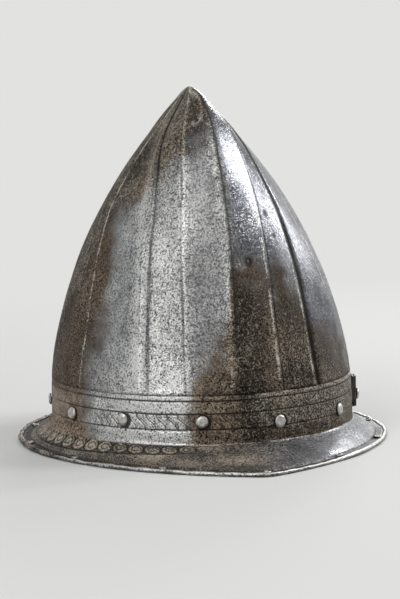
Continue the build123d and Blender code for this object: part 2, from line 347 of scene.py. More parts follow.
def old_steel():
    """Pitted steel under a broken brown skin, with light flecks, rubbed edges and dirt in its lines, painted
    highlights and painted shade, and a bluish painted reflection where it is polished.
    """
    material, tree, shader = new_material("old_steel")
    grit = noise_value(tree, 900.0, 2.0, 0.7)
    salt = noise_value(tree, 720.0, 1.0, 0.6)
    fine = noise_value(tree, 1900.0, 1.0, 0.5)
    crumbs = noise_value(tree, 300.0, 3.0, 0.6)
    cloud = noise_value(tree, 75.0, 5.0, 0.62)
    stain = noise_value(tree, 24.0, 4.0, 0.6)
    brown, shine, tone_and_painted_light = attribute(tree, "brown"), attribute(tree, "shine"), attribute(tree, "tone_and_painted_light")
    dirt_and_shade, wear_and_highlight, fleck = attribute(tree, "dirt_and_shade"), attribute(tree, "wear_and_highlight"), attribute(tree, "fleck")
    broken = weighted((brown, 1.0), (cloud, 0.6), (crumbs, 0.7), (salt, 1.1), (-1.2, 1.0))
    rust = stretched(broken, 0.32, 0.68)
    steel = mixed(stretched(cloud, 0.34, 0.66), (0.103, 0.105, 0.106), (0.167, 0.169, 0.166))
    # Polished steel, tinted blue as a painted reflection of a dark surround
    polished_and_reflected = mixed(stretched(cloud, 0.35, 0.7), (0.15, 0.155, 0.175), (0.27, 0.275, 0.3))
    earth = mixed(stretched(stain, 0.32, 0.68), (0.035, 0.0265, 0.0195), (0.09, 0.0675, 0.049))
    colour = mixed(rust, mixed(shine, steel, polished_and_reflected), earth)
    grain_share = weighted((fleck, 0.65), (rust, 0.3), (1.0, 0.25))
    grain = times(stretched(salt, 0.36, 0.64, -1.0, 1.0), grain_share)
    toned = times(tone_and_painted_light, sums(grain, 1.0))
    colour = node(tree, "VectorMath", {0: colour, 3: toned}, operation="SCALE").outputs[0]
    flecked = weighted((grit, 0.72), (crumbs, 0.28), (fleck, 0.2), (wear_and_highlight, 0.1))
    spots = stretched(flecked, 0.63, 0.73)
    spot_colour = mixed(rust, (0.72, 0.72, 0.7), (0.43, 0.375, 0.3))
    spot_share = weighted((fleck, 0.8), (wear_and_highlight, 0.5), (rust, -0.15))
    spot_share = stretched(spot_share, 0.1, 0.7, 0.3, 0.95)
    colour = mixed(times(spots, spot_share), colour, spot_colour)
    # Rubbed steel; the wear mark also carries painted highlights
    rubbed = stretched(weighted((wear_and_highlight, 1.0), (grit, 0.9), (crumbs, 0.8)), 1.3, 1.9)
    colour = mixed(rubbed, colour, (0.6, 0.58, 0.53))
    holes = stretched(weighted((grit, 0.5), (fine, 0.5)), 0.44, 0.33)
    colour = mixed(times(holes, 0.6), colour, (0.02, 0.016, 0.013))
    # Dirt and painted shade darken the colour
    filth_and_shade = stretched(weighted((dirt_and_shade, 1.0), (crumbs, 0.4)), 0.3, 1.0)
    colour = mixed(times(filth_and_shade, 0.93), colour, (0.011, 0.008, 0.006))
    rough = weighted((rust, 0.6), (shine, -0.75), (cloud, 0.5), (filth_and_shade, 0.5))
    rough = stretched(rough, -0.55, 0.9, 0.22, 0.66)
    metal = stretched(weighted((rust, 0.6), (filth_and_shade, 1.0)), 0.0, 1.0, 0.9, 0.2)
    relief = weighted((grit, 0.6), (crumbs, 0.5), (fine, 0.2), (spots, 0.25))
    set_shader(shader, colour, rough, metal, relief, 0.5, 0.0004)
    tree.links.new(stretched(rust, 0.0, 1.0, 0.4, 0.15), shader.inputs["Specular IOR Level"])
    return material


def steel_marks(turn, z, dirt_and_shade, wear_and_highlight, places):
    """Where the steel above the brim is brown, dark, polished and flecked, with painted highlights and shade
    in its tone; turns are straightened.
    """
    ragged = 0.6 * lumps(places, 26.0 * mm, 1) + 0.4 * lumps(places, 9.0 * mm, 2)
    front_right = (-110, -84, -71, -60, -38, -22, -12, -3, 2, 10)
    top_line = np.interp(turn, front_right, (60, 80, 132, 160, 184, 196, 204, 214, 250, 262))
    top = 0.85 * ease(-20.0, 20.0, z - top_line + 30.0 * ragged) * ease(-160.0, -115.0, turn + 30.0 * ragged)
    edge = np.interp(z, (60, 90, 120, 170), (-62.0, -58.0, -54.0, -60.0))
    side = ease(edge + 13.0, edge - 10.0, turn + 8.0 * ragged) * ease(-160.0, -125.0, turn + 30.0 * ragged)
    front_left = (-22, -14, -6, -2.4, -1.2, 8, 16, 24, 31, 36, 50, 64)
    low_line = np.interp(turn, front_left, (34, 66, 88, 98, 122, 122, 114, 106, 96, 84, 70, 55))
    low = ease(34.0, -34.0, z - low_line + 34.0 * ragged) * between(turn, -26.0, -13.0, 64.0, 100.0)
    behind = ease(84.0, 124.0, np.abs(turn)) * ease(-0.6, 0.7, ragged * 1.6 + 0.1)
    brown = np.maximum.reduce([top, 0.92 * side, low, behind * 0.85, 0.12 + 0.1 * ragged])
    right_of_keel = ease(keel_line, keel_line + 1.0, turn)
    shine = right_of_keel * ease(96.0, 150.0, z + 20.0 * ragged) * ease(-1.0, 4.0, turn)
    shine = np.maximum(shine, ease(31.0, 35.0, turn) * ease(30.0, 90.0, z)) * ease(125.0, 105.0, turn)
    shine = np.maximum(shine, 0.12 * groove(turn + 50.0, 11.0) * ease(60.0, 80.0, z))
    tip_brown = top * ease(-36.0, -40.0, turn)
    # The tone carries painted light as well as the steel's own tone: the flutes to the wearer's right of the
    # keel are painted brighter where they reflected a light, and the panel just to the wearer's left of the
    # keel darker, as polished steel reflecting a dark surround
    tone_turns = (
        -100, -84, -62, -56, -48, -39, -34, -31, -24, -20, -14, -4, -1.5, 0, 11, 14.5, 17, 24, 31, 34, 52, 80,
        110, 180,
    )
    tones = (
        1.2, 1.15, 1.4, 2.2, 2.85, 2.75, 1.6, 1.75, 1.75, 1.65, 1.65, 1.6, 1.2, 0.75, 1.25, 1.15, 0.75, 0.85,
        1.0, 1.1, 0.95, 1.0, 1.1, 1.2,
    )
    tone_and_painted_light = np.interp(turn, tone_turns, tones) * (1.0 + 0.25 * ragged) * (1.0 - 0.2 * ease(188.0, 232.0, z))
    tone_and_painted_light = tone_and_painted_light * (1.0 - top) + (0.34 - 0.12 * tip_brown) * top
    tone_and_painted_light *= 1.0 - 0.35 * ease(110.0, 80.0, z) * between(turn, 14.0, 19.0, 34.0, 70.0)
    tone_and_painted_light *= 1.0 - 0.55 * ease(150.0, 200.0, z) * ease(-38.0, -44.0, turn)
    tone_and_painted_light *= 1.0 - 0.4 * side * groove(turn + 54.0, 8.0)
    tone_and_painted_light *= 1.0 - 0.55 * ease(122.0, 96.0, z) * between(turn, -3.0, 1.0, 8.0, 17.0)
    fleck_turns = (
        -120, -95, -80, -66, -60, -46, -42, -38.5, -35, -31, -22, -18, -13, -6, -2, 0.5, 15, 18, 31, 35, 55,
        75, 110,
    )
    flecks = (
        0.45, 0.5, 0.5, 0.5, 0.3, 0.32, 0.55, 0.95, 0.5, 0.78, 0.75, 0.7, 0.42, 0.46, 0.62, 0.42, 0.42, 0.34,
        0.34, 0.16, 0.18, 0.32, 0.45,
    )
    fleck = np.interp(turn, fleck_turns, flecks)
    fleck += 0.4 * ease(74.0, 48.0, z) * between(turn, -62.0, -56.0, -24.0, -16.0)
    fleck = np.maximum.reduce([fleck, 0.6 * low, 0.85 * top]) + 0.3 * ragged
    marks = {"brown": brown, "shine": shine, "dirt_and_shade": dirt_and_shade, "wear_and_highlight": wear_and_highlight, "fleck": fleck}
    return {"tone_and_painted_light": tone_and_painted_light, **{name: held(values) for name, values in marks.items()}}


bowl_columns = 672
bowl_outer_rows = 112
bowl_inner_rows = 20
fine_count = 4000
cap_shares = (0.97, 0.86, 0.7, 0.5, 0.25, 0.0)

fine_levels = np.linspace((bowl_bottom - level_zero) / skull_rise, cap_level, fine_count)
fine_widths = skull_half_width * smooth_through(level_shares, width_shares, fine_levels)
fine_run = np.cumsum(np.hypot(np.gradient(fine_widths), np.gradient(fine_levels) * skull_rise))
outer_levels = np.interp(np.linspace(fine_run[0], fine_run[-1], bowl_outer_rows), fine_run, fine_levels)
inner_levels = np.interp(np.linspace(fine_run[-1], fine_run[0], bowl_inner_rows), fine_run, fine_levels)
cap_levels = [cap_level + (cap_top - cap_level) * (1.0 - share**1.5) for share in cap_shares]
level_row = np.concatenate([outer_levels, cap_levels, cap_levels[::-1], inner_levels, outer_levels[:1]])
shrink_row = np.concatenate([
    np.ones(bowl_outer_rows), cap_shares, cap_shares[::-1], np.ones(bowl_inner_rows + 1),
])
outer_count = bowl_outer_rows + len(cap_shares)
inside_row = np.concatenate([np.zeros(outer_count), np.ones(len(level_row) - outer_count - 1), [0.0]])

bowl_turns = gathered_turns(bowl_columns, [corner[0] for corner in flutes[1:]], 1.2)
bowl_mesh, column, row = blank_sheet(bowl_columns, len(level_row))
turn, level, shrink, inner = bowl_turns[column], level_row[row], shrink_row[row], inside_row[row]

# Dents and pits, as turn, height, reach across, reach up and depth, in degrees and millimetres
dents = (
    (6.0, 131.0, 7.0, 7.5, 1.2), (7.4, 129.5, 2.9, 3.2, 1.8), (20.6, 158.7, 1.8, 2.2, 0.7),
    (22.5, 144.2, 1.4, 1.4, 0.6), (-78.0, 169.5, 2.2, 2.4, 1.3), (4.0, 106.7, 7.0, 0.9, 0.5),
    (-11.0, 230.0, 6.5, 9.0, 1.7), (41.0, 92.0, 9.0, 13.0, 0.5), (-50.0, 104.0, 10.0, 16.0, 0.5),
    (-28.0, 147.0, 6.0, 9.0, 0.4), (150.0, 120.0, 9.0, 9.0, 0.9), (-130.0, 90.0, 8.0, 7.0, 0.8),
    (-52.0, 150.0, 9.0, 12.0, 0.5), (-12.0, 120.0, 9.0, 14.0, 0.4), (50.0, 150.0, 8.0, 12.0, 0.4),
)
# Lines cut or beaten beside the flutes: turn, depth, width, where the rubbed lip beside each lies and
# how bright it is, and how black the line is from the band up to the tip
cut_lines = (
    (right_inner, 0.45, 0.7, 2.0, 0.75, (0.9, 0.45, 0.3, 0.2)),
    (left_inner, 0.6, 0.7, -2.4, 0.95, (0.9, 1.0, 0.9, 0.8)),
    (right_side, 0.35, 0.8, -1.4, 1.0, (0.45, 0.4, 0.4, 0.4)),
    (left_side, 0.4, 0.8, -1.6, 0.9, (0.4, 0.4, 0.4, 0.4)),
    (right_outer, 0.5, 0.7, -7.6, 0.3, (0.5, 0.5, 0.5, 1.2)),
    (left_outer + 0.7, 1.1, 1.45, -3.6, 0.8, (1.4, 1.4, 1.6, 1.6)),
) + tuple(
    (hand * line, 0.5, width, hand * lip, 0.7, black_shares)
    for line, width, lip, black_shares in (
        (159.5, 0.75, 1.5, (0.7, 0.7, 0.7, 0.5)),
        (116.0, 0.8, 1.5, (0.5, 0.5, 0.5, 0.5)),
        (146.0, 0.8, -2.4, (0.8, 0.8, 0.9, 0.6)),
    )
    for hand in (1.0, -1.0)
)


def stripe(line, width_mm, shift_mm=0.0):
    """A soft stripe along a flute's line, or so many millimetres to the wearer's left of it."""
    return groove(arc_from(flat_turn, line) * spread - shift_mm * mm, width_mm * mm)


height = level_zero + skull_rise * level
z = height / mm
flat_turn = straightened(turn, z)
plain = bowl_place(turn, level, shrink, 0.0 * level)
radius = np.hypot(plain[:, 0], plain[:, 1] - apex_back * held(level) ** apex_power)
fade = held(radius / skull_half_width) ** 0.8 * ease(bowl_bottom, bowl_bottom + 3.0 * mm, height)
relief = flute_relief(flat_turn) * fade
spread = np.clip(radius / skull_half_width, 0.05, 1.0)
dirt_and_shade = np.zeros_like(turn)
wear_and_highlight = np.zeros_like(turn)
patchy = 0.7 + 0.6 * lumps(plain, 11.0 * mm, 12)
for line, depth_mm, width_mm, lip_mm, lip_share, black_shares in cut_lines:
    relief -= depth_mm * mm * stripe(line, width_mm) * ease(0.0, 0.25, spread)
    blackened = np.interp(z, (60, 110, 175, 200), black_shares)
    blackened *= 0.8 + 0.9 * lumps(plain, 24.0 * mm, abs(line))
    dirt_and_shade += np.clip(blackened, 0.0, 1.2) * stripe(line, 1.1 * width_mm)
    wear_and_highlight += lip_share * patchy * stripe(line, 1.2, lip_mm)
wear_and_highlight += 0.55 * patchy * stripe(keel_line - 1.3, 2.2) * ease(230.0, 205.0, z)
wear_and_highlight += 0.7 * patchy * stripe(180.0, 1.8)
# A painted highlight carried as wear: a thin bright line from turn 58 at 100 mm up to turn 50 at 165 mm
wear_and_highlight += 1.1 * stripe(np.interp(z, (100, 165), (58, 50)), 0.8) * between(z, 85.0, 110.0, 165.0, 185.0)
dirt_and_shade += 0.7 * stripe(keel_line + 0.9, 0.9) * ease(60.0, 90.0, z)
for dent_turn, dent_height, across, upward, depth_mm in dents:
    sideways = arc_from(turn, dent_turn) * spread / (across * mm)
    pressed = np.exp(-(sideways**2) - ((z - dent_height) / upward) ** 2)
    relief -= depth_mm * mm * pressed
    dirt_and_shade += 1.2 * pressed * (across < 3.0)
# A worn facet, hammered flat in front of the tip
facet_side = arc_from(turn, -12.0) * spread / (6.0 * mm)
facet_up = (z - 229.0) / 10.0
facet_ring = groove(np.hypot(facet_side, facet_up) - 1.0, 0.16)
wear_and_highlight += 0.9 * patchy * facet_ring * (facet_side > -0.3)
dirt_and_shade += 0.8 * groove(facet_side + 0.35 * facet_up - 0.1, 0.1) * (np.hypot(facet_side, facet_up) < 1.0)
hammered = 0.3 * mm * lumps(plain, 22.0 * mm, 3) + 0.08 * mm * lumps(plain, 7.0 * mm, 4)
pitted = 0.1 * mm * held(lumps(plain, 2.6 * mm, 5))
relief += (hammered - pitted) * ease(0.0, 0.2, spread)
bowl_points = bowl_place(turn, level, shrink, inner * plate - relief)
marks = steel_marks(flat_turn, z, dirt_and_shade, wear_and_highlight, plain)
# Painted highlights in the tone: a strip 3.6 mm to the wearer's right of the inner left line, growing
# brighter from 110 mm up, and a strip 7.6 mm to the wearer's right of the outer right line
glow = stripe(left_inner, 3.0, -3.6) * ease(110.0, 170.0, z)
marks["tone_and_painted_light"] += 0.6 * glow + 0.8 * stripe(right_outer, 3.0, -7.6)
bowl = finished("skull_bowl", bowl_mesh, bowl_points, marks)
steel_look = old_steel()
bowl.data.materials.append(steel_look)
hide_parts("skull")

# Etched band
# The upright band at the foot of the bowl, between two engraved lines. A running leaf pattern is
# etched into it, sharp on the wearer's right and nearly rubbed away on the left.
band_columns = 1340
band_outer_rows = 50
band_inner_rows = 5
band_foot = 22.1 * mm
leaf_top = 32.6 * mm
upper_line = 41.1 * mm
leaf_count = 96
leaf_lean = 0.46
leaf_depth = 0.45 * mm
line_depth = 0.55 * mm
line_width = 0.5 * mm


def leaf_cuts(turn, height):
    """How deep the leaf pattern is cut, from 0 to 1."""
    half = (leaf_top - band_foot) / 2.0
    rise = np.clip((height - (leaf_top + band_foot) / 2.0) / half, -1.0, 1.0)
    pitch = math.tau * skull_half_width / leaf_count
    cell = (turn / 360.0 * leaf_count) % 1.0
    cuts = np.zeros_like(turn)
    for shift in (-1.0, 0.0, 1.0):
        along = (cell - 0.5 + shift) * pitch
        edge = -leaf_lean * pitch * (rise + 0.32 * np.sin(math.pi * rise))
        cuts = np.maximum(cuts, groove(along - edge, 0.5 * mm))
        belly = edge + 0.36 * pitch * (1.0 - rise**2)
        cuts = np.maximum(cuts, 0.6 * groove(along - belly, 0.42 * mm))
        for vein in (-0.35, 0.25):
            root = -leaf_lean * pitch * (vein + 0.32 * math.sin(math.pi * vein))
            reach = (along - root) / (0.34 * pitch)
            slant = groove((rise - vein + 0.3 * reach) * half, 0.36 * mm)
            cuts = np.maximum(cuts, 0.45 * slant * between(reach, 0.0, 0.2, 0.8, 1.0))
    return cuts * ease(1.0, 0.9, np.abs(rise))


# Where the twelve lining rivets go through, as turn and height; the smith didn't space them quite evenly
rivet_level = 26.65 * mm
rivet_turn_offsets = (-1.1, 1.8, 0.0, 0.9, -1.2, 0.6, -0.7, 1.3, -0.5, 3.4, -0.3, -0.4)
rivet_height_offsets = (-1.7, -1.9, 0.0, 0.6, -0.4, 0.3, 0.5, -0.6, 0.4, 0.3, 1.3, 1.0)
rivet_spots = [
    ((index + 0.5) * 360.0 / len(rivet_turn_offsets) + turned, rivet_level + raised * mm)
    for index, (turned, raised) in enumerate(zip(rivet_turn_offsets, rivet_height_offsets))
]
band_heights = np.linspace(bowl_bottom, band_foot, band_outer_rows)
inner_heights = np.linspace(band_foot, bowl_bottom, band_inner_rows)
height_row = np.concatenate([band_heights, inner_heights, band_heights[:1]])
inside_row = np.concatenate([np.zeros(band_outer_rows), np.ones(band_inner_rows), [0.0]])
band_turns = gathered_turns(band_columns, [-60.0, -30.0, 0.0], 0.5)
band_mesh, column, row = blank_sheet(band_columns, len(height_row))
turn, height, inner = band_turns[column], height_row[row], inside_row[row]
level = (height - level_zero) / skull_rise
plain = bowl_place(turn, level, np.ones_like(turn), 0.0 * turn)
worn = lumps(plain, 16.0 * mm, 6)
kept = np.interp(turn, (-110, -92, -66, -50, 0, 30, 70, 180), (0.8, 0.1, 0.1, 1.0, 0.8, 0.5, 0.35, 0.8))
kept += 0.3 * worn
leaves = leaf_cuts(turn, height) * held(kept)
lines = np.zeros_like(turn)
for line in (bowl_bottom, upper_line, leaf_top, band_foot):
    wavering = height - line + 0.25 * mm * lumps(plain, 30.0 * mm, 14)
    lines = np.maximum(lines, groove(wavering, line_width) * ease(-0.2, 0.3, kept + (turn > -50.0)))
relief = 0.24 * mm * lumps(plain, 20.0 * mm, 3) - leaf_depth * leaves - line_depth * lines
relief -= 0.09 * mm * held(lumps(plain, 2.2 * mm, 5))
band_points = bowl_place(turn, level, np.ones_like(turn), inner * plate - relief)
band_wear = 0.3 * groove(height - bowl_bottom + 1.6 * mm, 1.2 * mm) + 0.25 * worn
marks = steel_marks(turn, height / mm, 0.95 * np.maximum(0.8 * leaves, lines), band_wear, plain)
marks["fleck"] *= 1.0 - 0.75 * np.maximum(leaves, lines)
pale = groove(turn + 20.0, 24.0) + 0.6 * groove(turn + 62.0, 18.0)
marks["tone_and_painted_light"] *= 1.0 + 0.35 * pale
bare = ease(-46.0, -74.0, turn + 12.0 * worn) * ease(-112.0, -92.0, turn) * ease(46.0, 36.0, height / mm)
marks["tone_and_painted_light"] *= 1.0 + 1.7 * bare
marks["fleck"] *= 1.0 - 0.7 * bare
marks["brown"] *= 1.0 - 0.25 * bare
marks["shine"] *= 0.4
peppered = ease(-3.0, 8.0, turn + 6.0 * worn) * ease(110.0, 90.0, turn)
marks["fleck"] = np.maximum(marks["fleck"], 0.78 * peppered)
marks["tone_and_painted_light"] *= 1.0 - 0.25 * peppered
marks["brown"] *= 1.0 - 0.3 * peppered
# Painted shadows: a dark ring on the band round each rivet head, set off towards the wearer's left and
# downwards
for rivet_turn, rivet_height in rivet_spots:
    spot, _ = base_oval(rivet_turn + 0.45)
    away = np.hypot(np.linalg.norm(plain[:, :2] - spot, axis=1), height - rivet_height + 0.5 * mm)
    marks["dirt_and_shade"] = np.maximum(marks["dirt_and_shade"], 1.3 * ease(6.0 * mm, 4.4 * mm, away))
band = finished("skull_band", band_mesh, band_points, marks)
band.data.materials.append(steel_look)
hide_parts("skull")

# Brim
# The boat-shaped brim, drawn out of the same plate, with a row of etched roundels beside the
# skull, a sunk border, and an edge that was rolled under round a wire and has since been knocked.
brim_columns = 1080
brim_half_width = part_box("skull")[1].x
brim_half_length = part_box("skull")[1].y
point_share = 0.5
point_round = 0.9995
brim_plate = 1.3 * mm
brim_edge_height = 2.35 * mm
border_width = 4.6 * mm
border_top = 1.7 * mm
border_plate = 1.1 * mm
roll_radius = 1.8 * mm
worn_roll_radius = 1.3 * mm
roll_plate = 0.5 * mm
fillet_radius = 4.2 * mm
fillet_turn = math.radians(68.0)
roundel_count = 59
roundel_start = 1.4 * mm
roundel_reach = 9.4 * mm
roundel_depth = 0.6 * mm


def rim_oval(angle, inset):
    """A line inside the brim's pointed outline, and the outward direction there."""
    corner = np.arcsin(point_round * np.cos(angle)) / math.asin(point_round)
    along = (1.0 - point_share) * np.cos(angle) + point_share * corner
    turn_in = point_round * np.sin(angle) / np.sqrt(1.0 - (point_round * np.cos(angle)) ** 2)
    slope = (1.0 - point_share) * np.sin(angle) + point_share * turn_in / math.asin(point_round)
    outward = np.stack([brim_half_length * slope, -brim_half_width * np.cos(angle)], 1)
    outward /= np.linalg.norm(outward, axis=1)[:, None]
    rim = np.stack([brim_half_width * np.sin(angle), -brim_half_length * along], 1)
    return rim - outward * np.reshape(inset, (-1, 1)), outward


def brim_section():
    """Rows of the brim's section: kind, place along it, and 1 for the under side."""
    stretches = (
        ("wall", 0.0, np.linspace(0.0, 1.0, 5)), ("fillet", 0.0, np.linspace(0.15, 1.0, 5)),
        ("etched", 0.0, np.linspace(0.0, 1.0, 25)), ("field", 0.0, np.linspace(0.12, 1.0, 8)),
        ("border", 0.0, (0.0, 0.05, 0.35, 0.65, 0.95)), ("roll", 0.0, np.linspace(0.0, 1.0, 13)),
        ("roll", 1.0, np.linspace(1.0, 0.0, 7)), ("border", 1.0, (0.95, 0.5, 0.0)),
        ("field", 1.0, np.linspace(1.0, 0.0, 5)), ("etched", 1.0, (0.6, 0.05)),
        ("wall", 1.0, (1.0, 0.4, 0.0)), ("wall", 0.0, (0.0,)),
    )
    return [(kind, share, under) for kind, under, shares in stretches for share in shares]


def unit_ring(turn):
    angle = np.radians(turn)
    return np.stack([np.sin(angle), np.cos(angle), 0.0 * angle], 1)


def knocked_edge(turn):
    """How far the brim's edge is knocked outwards and upwards at a turn, and the roll's radius there."""
    ring = unit_ring(turn)
    wobble, ripple = lumps(ring, 0.16, 7), lumps(ring, 0.05, 8)
    kink = held(lumps(ring, 0.022, 9))
    outwards = (0.7 * wobble + 0.35 * ripple - 0.6 * kink) * mm
    upwards = (0.5 * (wobble + 0.6) + 0.3 * ripple) * mm
    full_roll = between(turn, -150.0, -138.0, -74.0, -62.0)
    radius = worn_roll_radius + (roll_radius - worn_roll_radius) * full_roll + 0.12 * mm * ripple
    return outwards, upwards, radius * (1.0 - 0.18 * kink)


section = brim_section()
brim_turns = gathered_turns(brim_columns, (0.0, 180.0, -60.0), 0.7)
brim_mesh, column, row = blank_sheet(brim_columns, len(section))
turn = brim_turns[column]
angle = np.radians(turn)
kind, share, under = (np.array(values)[row] for values in zip(*section))
wall, fillet, border, rolled = (kind == name for name in ("wall", "fillet", "border", "roll"))
field = (kind == "field") | (kind == "etched")

base, skull_out = base_oval(turn)
edge_inset = 2.0 * roll_radius + border_width
edge, outward = rim_oval(angle, np.full(len(turn), edge_inset))
knock_out, knock_up, size = knocked_edge(turn)
soft = np.interp(turn, (-180, -150, -75, -50, -25, 60, 180), (0.8, 1.0, 1.1, 0.8, 0.35, 0.3, 0.8))
soft *= fillet_radius

flat = np.zeros((len(turn), 2))
lift = np.zeros(len(turn))
wall_foot = band_bottom + soft
flat[wall] = base[wall]
lift[wall] = (band_foot + (wall_foot - band_foot) * share)[wall]
bend = share * fillet_turn
flat[fillet] = (base + skull_out * (soft * (1.0 - np.cos(bend)))[:, None])[fillet]
lift[fillet] = (wall_foot - soft * np.sin(bend))[fillet]
field_start = base + skull_out * (soft * (1.0 - math.cos(fillet_turn)))[:, None]
start_lift = wall_foot - soft * math.sin(fillet_turn)
reach = np.linalg.norm(edge - field_start, axis=1)
etched_end = np.minimum((roundel_start + roundel_reach + 0.8 * mm) / reach, 0.8)
down = np.where(kind == "etched", etched_end * (0.02 + 0.98 * share), etched_end + (1.0 - etched_end) * share)
flat[field] = (field_start + (edge - field_start) * down[:, None])[field]
lift[field] = (start_lift + (brim_edge_height - start_lift) * down**0.86)[field]
flat[border] = rim_oval(angle, edge_inset - border_width * share)[0][border]
lift[border] = (brim_edge_height + (border_top - brim_edge_height) * ease(0.0, 0.05, share))[border]
curl = np.radians(172.0 - 342.0 * share)
curl_size = size - roll_plate * under
flat[rolled] = rim_oval(angle, roll_radius - curl_size * np.cos(curl))[0][rolled]
lift[rolled] = (size + curl_size * np.sin(curl))[rolled]

thickness = np.where(border, border_plate, brim_plate)
flat -= skull_out * (under * wall * plate)[:, None]
lift -= under * thickness * (field | border)
run = np.linalg.norm(flat - base, axis=1)
place = np.clip(run / np.linalg.norm(edge - base, axis=1), 0.0, 1.3)
knocked = ease(0.45, 1.1, place) * (field | border | rolled)
flat += outward * (knocked * knock_out)[:, None]
lift += knocked * knock_up

plain = np.column_stack([flat, lift])
down_mm = (run - roundel_start) / mm
reach_mm = roundel_reach / mm
pitch_mm = math.tau * (skull_half_width + roundel_start + roundel_reach / 2.0) / roundel_count / mm
across = ((turn / 360.0 * roundel_count) % 1.0 - 0.5) * pitch_mm
outer_way = down_mm - reach_mm / 2.0
round_share = np.hypot(2.0 * across / pitch_mm, 2.0 * outer_way / reach_mm)
way = np.arctan2(outer_way, across)
rim_ring = groove((round_share - 1.0) * reach_mm / 2.0, 0.7)
scroll = groove((round_share - 0.28 - 0.36 * ((way / math.tau) % 1.0)) * reach_mm / 2.0, 0.5)
petals = groove(np.sin(2.5 * way) * round_share, 0.16) * between(round_share, 0.62, 0.7, 0.9, 0.98)
ornament = np.maximum.reduce([rim_ring, 0.8 * scroll, 0.5 * petals, 0.6 * ease(1.04, 1.12, round_share)])
ornament *= (down_mm > -0.4) * (down_mm < reach_mm + 0.4)
ornament = np.maximum(ornament, np.maximum(0.5 * groove(down_mm, 0.6), groove(down_mm - reach_mm - 0.3, 0.7)))
ornament *= field * (under < 0.5)
worn = lumps(plain, 18.0 * mm, 10)
kept_turns = (-180, -110, -95, -82, -25, -8, 20, 80, 150, 180)
kept = np.interp(turn, kept_turns, (0.7, 0.5, 0.5, 1.0, 1.0, 0.4, 0.1, 0.15, 0.6, 0.7))
ornament *= held(kept + 0.25 * worn)
etched = field * (under < 0.5) * (down_mm > 0.0) * (down_mm < reach_mm)
rubbed = etched * held(kept) * (1.0 - ornament)
hammered = 0.25 * mm * lumps(plain, 20.0 * mm, 3) + 0.06 * mm * lumps(plain, 2.4 * mm, 5)
foot_line = groove(lift - band_foot, line_width) * wall
lowered = (hammered - roundel_depth * ornament - line_depth * foot_line) * (under < 0.5)
lift += lowered * (field | fillet | border)
flat += skull_out * (lowered * wall)[:, None]

brim_points = np.column_stack([flat, lift])
# Painted shade: darker across the sunk border, at the field's outer end where it steps down, at the roll's
# foot and on the roll's outer face where it turns under
edge_shade = border * groove(share - 0.5, 0.5) + ease(0.94, 1.0, place * field)
edge_shade += rolled * ease(0.14, 0.0, share) + 0.7 * rolled * ease(0.5, 0.66, share) * (under < 0.5)
low_dirt = 0.5 * ease(0.5, 0.9, place) * field * between(turn, -70.0, -50.0, -6.0, 20.0)
brim_dirt_and_shade = ornament + edge_shade + low_dirt * (0.7 + worn)
nibbled = lumps(plain, 5.0 * mm, 19)
thin_edge = between(turn, -70.0, -56.0, 120.0, 150.0)
# Wear and a painted highlight along the top and outer side of the roll, stronger where the edge is thin
rolled_wear_and_highlight = ease(0.12, 0.2, share) * ease(0.5, 0.38, share + 0.12 * nibbled) * (1.0 + 0.6 * nibbled)
# A painted highlight along the outer end of the fillet, at the front and on the wearer's left
fillet_highlight = fillet * groove(share - 0.8, 0.25) * between(turn, -30.0, -10.0, 80.0, 95.0)
brim_wear_and_highlight = rolled * rolled_wear_and_highlight * (0.15 + 1.05 * thin_edge) + 0.6 * rubbed * (0.6 + worn)
brim_wear_and_highlight += 0.9 * fillet_highlight * (0.8 + worn)
marks = steel_marks(turn, lift / mm, brim_dirt_and_shade, brim_wear_and_highlight, plain)
bare = ease(-46.0, -74.0, turn + 12.0 * worn) * ease(-112.0, -92.0, turn)
bright = ease(-6.0, 24.0, turn + 14.0 * worn) * ease(118.0, 96.0, turn)
on_brim = field | border | rolled | (fillet & (share > 0.8))
warm = held(0.66 + 0.5 * worn) * (1.0 - bright) * np.where(rolled, 0.9 - 0.6 * thin_edge, 1.0)
# Part of the brim's tone is a painted highlight, rising to 2.1 at turn 30 on the wearer's left
tone_turns = (-180, -110, -80, -50, -30, -10, 10, 30, 110)
brim_tone_and_highlight = np.interp(turn, tone_turns, (1.2, 1.0, 0.7, 0.95, 1.2, 1.0, 1.15, 2.1, 1.2))
brim_tone_and_highlight *= (1.0 + 0.3 * worn) * np.where(rolled, 0.55 + 0.35 * thin_edge, 1.0)
marks["shine"] *= 0.4
marks["tone_and_painted_light"] *= 1.0 + 1.7 * bare
for name, values in (
    ("brown", warm + 0.25 * held(worn - 0.1)),
    ("shine", bright * held(0.55 + 0.9 * worn)),
    ("tone_and_painted_light", brim_tone_and_highlight),
    ("fleck", 0.8 - 0.3 * bright + 0.7 * worn * (1.0 - bright)),
):
    marks[name] = np.where(on_brim, values, marks[name])
brim = finished("skull_brim", brim_mesh, brim_points, marks)
brim.data.materials.append(steel_look)
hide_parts("skull")

# Edge wire
# The iron wire that the brim's edge is rolled round. It shows only from underneath, where the
# roll's closing edge leaves a slit.
wire_sides = 9
wire_gap = 0.15 * mm
wire_mesh, column, row = blank_sheet(brim_columns, wire_sides)
turn = brim_turns[column]
knock_out, knock_up, size = knocked_edge(turn)
wire_radius = size - roll_plate - wire_gap
round_wire = math.tau * (row % (wire_sides - 1)) / (wire_sides - 1)
flat, outward = rim_oval(np.radians(turn), roll_radius - wire_radius * np.cos(round_wire))
flat += outward * knock_out[:, None]
lift = size + wire_radius * np.sin(round_wire) + knock_up
wire = finished("edge_wire", wire_mesh, np.column_stack([flat, lift]), {})


